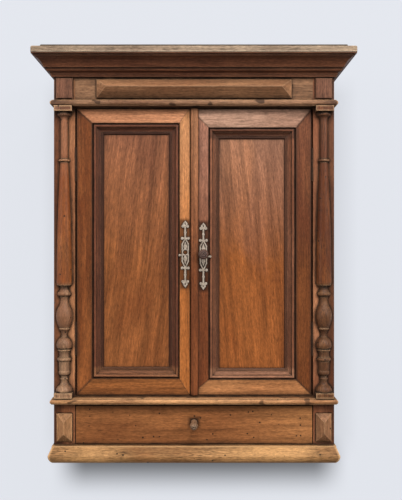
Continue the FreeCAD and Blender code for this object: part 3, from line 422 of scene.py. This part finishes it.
# Base moulding: a sloping foot mould round three sides.
# It is the most rubbed piece, worn to pale bare wood with flecks and worm holes, and dark at its ends.
# One front length and two returns are mitred at the corners and nailed on.
BASE = (0.44, 0.22, 0.085)
BASE_BARE = (0.62, 0.36, 0.17)
BASE_ENDS = dark_ends(start=0.22, end=0.262, stain=(0.24, 0.118, 0.05))
BASE_WEAR = {"rub": 0.7, "rub_reach": 0.006, "holes": 0.5, "polish": 0.5, "swirl": 30.0, "flecks": 1.0,
             "blotch": 0.5}
dress(wood("base_front", BASE, "x", BASE_BARE, zones=BASE_ENDS, **BASE_WEAR), "base_moulding_front")
dress(wood("base_returns", BASE, "y", BASE_BARE, **BASE_WEAR), "base_moulding_returns")

# Waist and frieze mouldings: noses above the drawer and under the cornice.
# Brown, with the nose rubbed through to light wood, on the frieze moulding also a painted highlight,
# some chips knocked out and the ends dark.
# Each has one front length and two returns, mitred and nailed on over the rails.
WAIST_NOSE = (0.47, 0.225, 0.095)
WAIST_ENDS = dark_ends(start=0.23, end=0.258, stain=(0.24, 0.115, 0.055))
LIP_NOSE = (0.26, 0.13, 0.068)
LIP_ENDS = dark_ends(start=0.215, end=0.24, stain=(0.13, 0.064, 0.036))
NOSE_BARE_AND_HIGHLIGHT = (0.62, 0.36, 0.18)
FRONT_NOSE_WEAR = {"rub": 0.6, "rub_reach": 0.003, "blotch": 0.4}
RETURN_NOSE_WEAR = {"rub": 0.4, "rub_reach": 0.003, "blotch": 0.4}
dress(wood("waist_front", WAIST_NOSE, "x", NOSE_BARE_AND_HIGHLIGHT, holes=0.3, chips=0.7, zones=WAIST_ENDS,
           **FRONT_NOSE_WEAR), "waist_moulding_front")
dress(wood("waist_returns", WAIST_NOSE, "y", NOSE_BARE_AND_HIGHLIGHT, **RETURN_NOSE_WEAR), "waist_moulding_returns")
dress(wood("lip_front", LIP_NOSE, "x", NOSE_BARE_AND_HIGHLIGHT, chips=0.8, zones=LIP_ENDS, **FRONT_NOSE_WEAR),
      "frieze_moulding_front")
dress(wood("lip_returns", LIP_NOSE, "y", NOSE_BARE_AND_HIGHLIGHT, **RETURN_NOSE_WEAR), "frieze_moulding_returns")

# Frieze: a board across the top with a long hipped bar and a flat block over each column.
# Greyed brown, its wax gone dull; the blocks are redder.
# The bar and the blocks are glued on the face.
dress(wood("frieze_field", (0.29, 0.145, 0.073), "x", rub=0.2, polish=0.5), "frieze_board")
dress(wood("frieze_bar_face", (0.335, 0.157, 0.073), "x", (0.5, 0.3, 0.17), rub=0.55, polish=0.46),
      "frieze_bar")
dress(wood("frieze_block_face", (0.205, 0.088, 0.05), "z", rub=0.35, polish=0.5),
      "left_frieze_block", "right_frieze_block")

# Split columns: one turning sawn in half down its length for both sides.
# Brown, rubbed light on its swellings, where a highlight is painted too, with worm holes;
# the left half is paler and its capital dark.
# Each half is glued flat on its stile between the two mouldings.
COLUMN_BARE_AND_HIGHLIGHT = (0.5, 0.3, 0.155)
SHAFT = ("Z", 0.312, 0.322)
ABOVE_RING = ("Z", 0.5, 0.56)
CAPITAL = ("Z", 0.612, 0.622)
LEFT_PARTS = {SHAFT: (0.36, 0.12, 0.034), ABOVE_RING: (0.46, 0.22, 0.112), CAPITAL: (0.22, 0.11, 0.065)}
RIGHT_PARTS = {SHAFT: (0.168, 0.05, 0.014), ABOVE_RING: (0.18, 0.066, 0.028)}
COLUMN_WEAR = {"rub_reach": 0.006, "dirt_and_shade": 1.0, "dirt_and_shade_reach": 0.03, "holes": 0.6, "polish": 0.38,
               "sheen": 0.16, "blotch": 0.8, "flecks": 0.8, "contrast": 1.3}
dress(wood("left_turning", (0.37, 0.195, 0.105), "z", COLUMN_BARE_AND_HIGHLIGHT, rub=0.9, zones=LEFT_PARTS,
           **COLUMN_WEAR), "left_column")
dress(wood("right_turning", (0.175, 0.073, 0.03), "z", COLUMN_BARE_AND_HIGHLIGHT, rub=0.55, zones=RIGHT_PARTS,
           **COLUMN_WEAR), "right_column")

# Facet-cut blocks at the foot of the stiles.
# Lighter wood, with the ridge and edges rubbed; the right block is the darker one.
# They are glued on below the waist moulding, beside the drawer.
RIGHT_HALF = ("X", -0.1, 0.1)
dress(wood("facet_faces", (0.43, 0.21, 0.092), "z", (0.6, 0.36, 0.18), rub=0.5, holes=0.3,
           zones={RIGHT_HALF: (0.3, 0.138, 0.064)}), "left_facet_block", "right_facet_block")

# Cornice: front length and two returns, leaning out under a cap.
# Dark brown stain, with painted highlight lines on the rubbed edges of its fillets;
# the edge of the cap is bleached and its wax is gone.
# The lengths are mitred at the corners, and the cap and the top board lie on them.
CORNICE = (0.12, 0.042, 0.019)
CORNICE_BARE_AND_HIGHLIGHT = (0.28, 0.14, 0.075)
CORNICE_WEAR = {"rub": 0.5, "rub_reach": 0.002, "dirt_and_shade_reach": 0.01, "polish": 0.4, "blotch": 0.4}
dress(wood("cornice_front_face", CORNICE, "x", CORNICE_BARE_AND_HIGHLIGHT, **CORNICE_WEAR), "cornice_front")
dress(wood("cornice_return_faces", CORNICE, "y", CORNICE_BARE_AND_HIGHLIGHT, **CORNICE_WEAR),
      "cornice_left", "cornice_right")
dress(wood("cap_edge", (0.32, 0.22, 0.145), "x", (0.6, 0.46, 0.33), rub=0.6, polish=0.62, blotch=0.45,
           flecks=0.9), "cornice_cap")
dress(wood("top_face", (0.1, 0.07, 0.05), "x", (0.3, 0.2, 0.13), rub=0.3, polish=0.7), "top_board")

# Drawer: a thick front, thin sides and back, and a bottom nailed on below.
# The front is stained like the case and lighter to the right; the rest is raw wood.
# It slides on two runners, between the guides on them.
RIGHT_PART = ("X", 0.02, 0.16)
dress(wood("drawer_face", (0.268, 0.097, 0.031), "x", (0.5, 0.28, 0.13), rub=0.3, holes=0.5, polish=0.44,
           swirl=22.0, rings=0.2, contrast=0.8, handled="drawer_knob",
           zones={RIGHT_PART: (0.36, 0.146, 0.05)}), "drawer_front")
dress(wood("drawer_boards_deep", RAW, "y", polish=0.62), "drawer_left_side", "drawer_right_side")
dress(wood("drawer_boards_long", RAW, "x", polish=0.62), "drawer_back", "drawer_bottom")

# Door frames: stiles and rails mitred at the corners, grooved for the panels.
# Red-brown wood, edges dark with grime and painted gap shade, upper half paler as a painted sheen;
# the left meeting stile, which the hand takes hold of, is rubbed light.
# The grain runs along each piece, so it turns at every mitre.
# The doors are paler in their upper half: a painted sheen from above.
UPPER_HALF_SHEEN = ("Z", 0.28, 0.56)
HINGE_STILE_WEAR = {"rub": 0.7, "rub_reach": 0.009, "blotch": 0.5}
dress(wood("left_hinge_face", (0.208, 0.063, 0.017), "z", GRIME_AND_GAP_SHADE, **HINGE_STILE_WEAR),
      "left_door_hinge_stile")
dress(wood("right_hinge_face", (0.15, 0.044, 0.012), "z", GRIME_AND_GAP_SHADE,
           zones={UPPER_HALF_SHEEN: (0.165, 0.056, 0.025)}, **HINGE_STILE_WEAR), "right_door_hinge_stile")
dress(wood("left_meeting_face", (0.39, 0.125, 0.03), "z", (0.6, 0.3, 0.13), rub=0.3, contrast=0.7,
           zones={UPPER_HALF_SHEEN: (0.6, 0.272, 0.112)}, handled="left_plate"), "left_door_meeting_stile")
dress(wood("right_meeting_face", (0.2, 0.06, 0.02), "z", GRIME_AND_GAP_SHADE, rub=0.55, rub_reach=0.004, blotch=0.4,
           zones={UPPER_HALF_SHEEN: (0.48, 0.22, 0.14)}, handled="right_plate"), "right_door_meeting_stile")
# The top rails are painted paler than the bottom ones: a painted sheen from above.
RAIL_STAINS_WITH_TOP_SHEEN = {"left_door_top_rail": (0.6, 0.255, 0.121),
               "right_door_top_rail": (0.5, 0.28, 0.185),
               "left_door_bottom_rail": (0.275, 0.094, 0.026),
               "right_door_bottom_rail": (0.51, 0.21, 0.077)}
for rail, stain in RAIL_STAINS_WITH_TOP_SHEEN.items():
    dress(wood(f"{rail}_face", stain, "x", GRIME_AND_GAP_SHADE, rub=0.6, rub_reach=0.005), rail)

# Door panels: one wide flat board in each door.
# Orange-brown with broad leaning figure, paler in the upper half as a painted sheen, better kept than the
# frame.
# It sits loose in the groove of the frame.
PANEL_FIGURE = {"swirl": 30.0, "rings": 0.4, "polish": 0.38}
dress(wood("left_panel_face", (0.266, 0.086, 0.025), "z", lean=7.0,
           zones={UPPER_HALF_SHEEN: (0.263, 0.101, 0.05)}, **PANEL_FIGURE), "left_door_panel")
dress(wood("right_panel_face", (0.3, 0.09, 0.022), "z", lean=-5.0,
           zones={UPPER_HALF_SHEEN: (0.345, 0.166, 0.098)}, **PANEL_FIGURE), "right_door_panel")

# Panel mouldings and the bead on the meeting stile.
# Darker than the door, with dirt and painted shade in the hollows and rubbed beads.
# The lower lengths are painted lighter, lit from above, and the upper ones darker, a painted shade;
# the bead is paler in its upper half, a painted sheen.
# Four mitred lengths are pinned inside each frame; the bead is glued on the right door.
BEAD_BARE = (0.4, 0.2, 0.1)
LENGTH_START = 0.024
LENGTH_FULL = 0.019
# Foot lengths are painted lighter as if lit from above, head lengths darker as painted shade.
LENGTH_STAINS_LIT_AND_SHADED = {"left": ((0.145, 0.047, 0.0225), (0.13, 0.044, 0.022), (0.3, 0.12, 0.053)),
                 "right": ((0.245, 0.091, 0.044), (0.13, 0.048, 0.024), (0.36, 0.162, 0.088))}
for side, (upright_stain, head_stain_in_shade, foot_stain_in_light) in LENGTH_STAINS_LIT_AND_SHADED.items():
    low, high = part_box(f"{side}_door_moulding")
    lengths = {("Z", high.z - LENGTH_START, high.z - LENGTH_FULL): head_stain_in_shade,
               ("Z", low.z + LENGTH_START, low.z + LENGTH_FULL): foot_stain_in_light}
    dress(wood(f"{side}_moulding_face", upright_stain, "z", BEAD_BARE, rub=0.45, rub_reach=0.0018,
               dirt_and_shade=1.0, dirt_and_shade_reach=0.013, zones=lengths, mitred=f"{side}_door_moulding"),
          f"{side}_door_moulding")
dress(wood("meeting_bead_face", (0.21, 0.062, 0.02), "z", BEAD_BARE, rub=0.3,
           zones={UPPER_HALF_SHEEN: (0.36, 0.153, 0.069)}), "meeting_bead")

# Turned knobs: one on the drawer, one on the spindle in the right door.
# The drawer's is worn and brown, the other dark and shiny where fingers rub it.
# The drawer knob is glued in by its tenon; the other turns the catch behind the door.
KNOB_WEAR = {"rub_reach": 0.002, "dirt_and_shade_reach": 0.005}
dress(wood("drawer_knob_face", (0.22, 0.115, 0.06), "y", (0.46, 0.3, 0.19), rub=0.8, polish=0.36, sheen=0.3,
           **KNOB_WEAR), "drawer_knob")
dress(wood("turn_knob_face", (0.085, 0.04, 0.028), "y", (0.22, 0.12, 0.085), rub=0.7, polish=0.32, sheen=0.4,
           **KNOB_WEAR), "turn_knob")

# Pierced door plates: sawn from white metal sheet.
# Pale and dull, with dark tarnish and painted shade round the piercings and scratches.
# Each is pinned on its door beside the meeting line.
BLOOM_PER_METRE = (260, 260, 260)
BLOOM_NOISE = (0.35, 0.7)
SCRATCHES_PER_METRE = (2600, 900, 160)
RUST_SPOTS_PER_METRE = (520, 520, 520)
RUST_NOISE = (0.52, 0.66)
old_metal, given, result = shared_effect("old_metal", ["Position"], ["Bloom", "Scratch", "Rust"])
position = given["Position"]
cloudy = mottle(old_metal, position, BLOOM_PER_METRE, detail=4.0, roughness=0.65)
old_metal.links.new(spread(old_metal, cloudy, *BLOOM_NOISE), result["Bloom"])
old_metal.links.new(mottle(old_metal, position, SCRATCHES_PER_METRE, detail=2.0), result["Scratch"])
spots = mottle(old_metal, position, RUST_SPOTS_PER_METRE, roughness=0.7)
old_metal.links.new(spread(old_metal, spots, *RUST_NOISE), result["Rust"])

METAL_DIRT_AND_SHADE_REACH = 0.003
METAL_EDGE_REACH = 0.0008
METAL_PATCHINESS = 0.2
METAL_DIRT_AND_SHADE_DEPTH = 0.85
METAL_DIRT_AND_SHADE = (0.03, 0.024, 0.02)
RUST = (0.12, 0.045, 0.018)
BLOOM_DULLS = 0.2
DIRTY_GLEAM = 0.1
SCRATCH_DEPTH = 0.0003
SCRATCH_STRENGTH = 0.15


def metal(name, bright, dull, roughness, gleam, rust=0.0, sheen=0.5):
    """A metal with cloudy tarnish, fine scratches, some rust, and dirt with painted shade in its corners."""
    material = bpy.data.materials.new(name)
    material.use_nodes = True
    tree = material.node_tree
    shader = tree.nodes["Principled BSDF"]
    place = put(tree, "ShaderNodeTexCoord").outputs["Object"]
    corner = effect(tree, dirt_and_corner_shade, {"Position": place, "Reach": METAL_DIRT_AND_SHADE_REACH})
    edge = effect(tree, edge_wear_and_painted_light, {"Position": place, "Reach": METAL_EDGE_REACH,
                                      "Patchiness": METAL_PATCHINESS})
    surface = effect(tree, old_metal, {"Position": place})
    colour = tint(tree, surface["Bloom"], bright, dull)
    colour = tint(tree, times(tree, surface["Rust"], rust), colour, RUST)
    # Corners darken with dirt and painted shade.
    dirt_and_shade_mask = times(tree, corner["Mask"], METAL_DIRT_AND_SHADE_DEPTH)
    colour = tint(tree, dirt_and_shade_mask, colour, METAL_DIRT_AND_SHADE)
    gloss = spread(tree, surface["Bloom"], 0.0, 1.0, roughness, roughness + BLOOM_DULLS)
    gloss = combined(tree, "ADD", gloss, times(tree, dirt_and_shade_mask, DIRT_DULLS), True)
    bare_metal = spread(tree, dirt_and_shade_mask, 0.0, 1.0, gleam, DIRTY_GLEAM)
    relief = put(tree, "ShaderNodeBump", {"Height": surface["Scratch"], "Strength": SCRATCH_STRENGTH,
                                          "Distance": SCRATCH_DEPTH, "Normal": edge["Soft Normal"]})
    tree.links.new(colour, shader.inputs["Base Color"])
    tree.links.new(gloss, shader.inputs["Roughness"])
    tree.links.new(bare_metal, shader.inputs["Metallic"])
    tree.links.new(relief.outputs["Normal"], shader.inputs["Normal"])
    shader.inputs["Specular IOR Level"].default_value = sheen
    return material


dress(metal("white_metal_sheet", bright=(0.52, 0.42, 0.32), dull=(0.125, 0.09, 0.064), roughness=0.32,
            gleam=0.5), "left_plate", "right_plate")

# Butt hinges and the catch: forged and rolled iron.
# Brown with old rust and dry.
# One leaf is let into the stile and one lies on the door's edge; a pin joins them.
dress(metal("hinge_iron_face", bright=(0.045, 0.026, 0.017), dull=(0.028, 0.017, 0.011), roughness=0.75,
            gleam=0.1, rust=0.4, sheen=0.05),
      "hinge_frame_leaves", "hinge_pins", "left_door_leaves", "right_door_leaves", "turn_catch")

# The wall that the cabinet hangs on: a pale, even, slightly blue paint.
# It is seen from the front only, so that the back of the cabinet can be looked at.
# It throws no shadow, so the back boards close to it gather neither dirt nor painted shade from it.
WALL_COLOUR = (0.76, 0.784, 0.839)
WALL_HALF_WIDTH = 6.0
WALL_GAP = 0.0005
WALL_MIDDLE_HEIGHT = 0.4
wall_mesh = bmesh.new()
bmesh.ops.create_grid(wall_mesh, x_segments=1, y_segments=1, size=WALL_HALF_WIDTH)
bmesh.ops.rotate(wall_mesh, verts=wall_mesh.verts, cent=(0, 0, 0),
                 matrix=Vector((0, 0, 1)).rotation_difference(Vector((0, -1, 0))).to_matrix())
bmesh.ops.translate(wall_mesh, verts=wall_mesh.verts, vec=(0, cad_box[1][1] + WALL_GAP, WALL_MIDDLE_HEIGHT))
wall_data = bpy.data.meshes.new("wall")
wall_mesh.to_mesh(wall_data)
wall_mesh.free()
wall = bpy.data.objects.new("wall", wall_data)
bpy.context.scene.collection.objects.link(wall)
wall.visible_shadow = False
paint = bpy.data.materials.new("wall_paint")
paint.use_nodes = True
tree = paint.node_tree
tree.nodes.remove(tree.nodes["Principled BSDF"])

# The soft shadow painted on the wall: faint beside the case, deep under the base, and a little to the right.
# Each of its edges fades from one distance off the middle, or one height, to another.
SHADOW_SHIFT = 0.01
BESIDE_EDGE = (0.33, 0.26)
BESIDE_DEPTH = 0.2
UNDER_SIDE_EDGE = (0.315, 0.235)
UNDER_LOWER_EDGE = (-0.14, -0.05)
UNDER_DEPTH = 0.85
BASE_EDGE = (0.0, -0.06)
BEHIND_EDGE = (0.27, 0.24)
TOP_EDGE = (0.745, 0.7)
place = put(tree, "ShaderNodeTexCoord").outputs["Object"]
spot = put(tree, "ShaderNodeSeparateXYZ", {0: place}).outputs
off_middle = combined(tree, "ABSOLUTE", combined(tree, "SUBTRACT", spot["X"], SHADOW_SHIFT))
beside = spread(tree, off_middle, *BESIDE_EDGE, 0.0, BESIDE_DEPTH)
under = times(tree, spread(tree, off_middle, *UNDER_SIDE_EDGE, curve="SMOOTHSTEP"),
              spread(tree, spot["Z"], *UNDER_LOWER_EDGE, 0.0, UNDER_DEPTH, "SMOOTHSTEP"))
below = combined(tree, "MAXIMUM", spread(tree, spot["Z"], *BASE_EDGE), spread(tree, off_middle, *BEHIND_EDGE))
shadow = put(tree, "ShaderNodeMix", {0: below, 2: beside, 3: under}).outputs[0]
shadow = times(tree, shadow, spread(tree, spot["Z"], *TOP_EDGE))

EVEN_SHARE = 0.95
lit = put(tree, "ShaderNodeBsdfDiffuse", {"Color": WALL_COLOUR}).outputs[0]
glow = combined(tree, "SUBTRACT", 1.0, shadow)
even = put(tree, "ShaderNodeEmission", {"Color": WALL_COLOUR, "Strength": glow}).outputs[0]
seen = put(tree, "ShaderNodeMixShader", {0: EVEN_SHARE, 1: lit, 2: even}).outputs[0]
clear = put(tree, "ShaderNodeBsdfTransparent").outputs[0]
from_behind = put(tree, "ShaderNodeNewGeometry").outputs["Backfacing"]
rays = put(tree, "ShaderNodeLightPath").outputs
looked_at = combined(tree, "MAXIMUM", rays["Is Camera Ray"], rays["Is Glossy Ray"])
shown = times(tree, looked_at, combined(tree, "SUBTRACT", 1.0, from_behind))
surface = put(tree, "ShaderNodeMixShader", {0: shown, 1: clear, 2: seen}).outputs[0]
tree.links.new(surface, tree.nodes["Material Output"].inputs["Surface"])
wall_data.materials.append(paint)

# Light: an even pale surrounding, a large soft lamp high in front, a smaller one to the right,
# a weak one to the left and one behind.
SKY_COLOUR = (0.94, 0.96, 1.0)
SKY_STRENGTH = 0.2
world = bpy.data.worlds.new("surrounding")
world.use_nodes = True
tree = world.node_tree
tree.nodes.remove(tree.nodes["Background"])
light = put(tree, "ShaderNodeBackground", {"Color": SKY_COLOUR, "Strength": SKY_STRENGTH}).outputs[0]
pale = put(tree, "ShaderNodeBackground", {"Color": WALL_COLOUR, "Strength": 1.0}).outputs[0]
rays = put(tree, "ShaderNodeLightPath").outputs
looked_at = combined(tree, "MAXIMUM", rays["Is Camera Ray"], rays["Is Transmission Ray"])
looked_at = combined(tree, "MAXIMUM", looked_at, rays["Is Glossy Ray"])
surrounding = put(tree, "ShaderNodeMixShader", {0: looked_at, 1: light, 2: pale}).outputs[0]
tree.links.new(surrounding, tree.nodes["World Output"].inputs["Surface"])
bpy.context.scene.world = world
LAMP_AIM = Vector((0.0, -0.05, 0.37))


def soft_lamp(name, place, size, power):
    """A round soft lamp that shines on the middle of the cabinet."""
    lamp = bpy.data.lights.new(name, "AREA")
    lamp.shape = "DISK"
    lamp.size = size
    lamp.energy = power
    holder = bpy.data.objects.new(name, lamp)
    holder.location = place
    holder.rotation_mode = "QUATERNION"
    holder.rotation_quaternion = (LAMP_AIM - Vector(place)).to_track_quat("-Z", "Y")
    bpy.context.scene.collection.objects.link(holder)


soft_lamp("key_lamp", place=(0.3, -2.5, 3.2), size=2.4, power=138.0)
soft_lamp("side_lamp", place=(2.3, -2.3, 1.6), size=1.5, power=66.0)
soft_lamp("fill_lamp", place=(-2.2, -1.7, 1.0), size=1.8, power=30.0)
soft_lamp("back_lamp", place=(0.6, 2.2, 1.6), size=1.6, power=45.0)

# Camera: straight on, at about half the cabinet's height, with its focal length in pixels of the picture.
IMAGE_LONG_SIDE = 500.0
FOCAL_PIXELS = 667.0
SENSOR_WIDTH = 36.0
CAMERA_PLACE = (0.0125, -1.287, 0.38)
camera_data = bpy.data.cameras.new("camera")
camera_data.sensor_width = SENSOR_WIDTH
camera_data.lens = SENSOR_WIDTH * FOCAL_PIXELS / IMAGE_LONG_SIDE
camera = bpy.data.objects.new("camera", camera_data)
camera.location = CAMERA_PLACE
camera.rotation_euler = (QUARTER_TURN, 0.0, 0.0)
bpy.context.scene.collection.objects.link(camera)
bpy.context.scene.camera = camera
bpy.context.scene.view_settings.view_transform = "Standard"
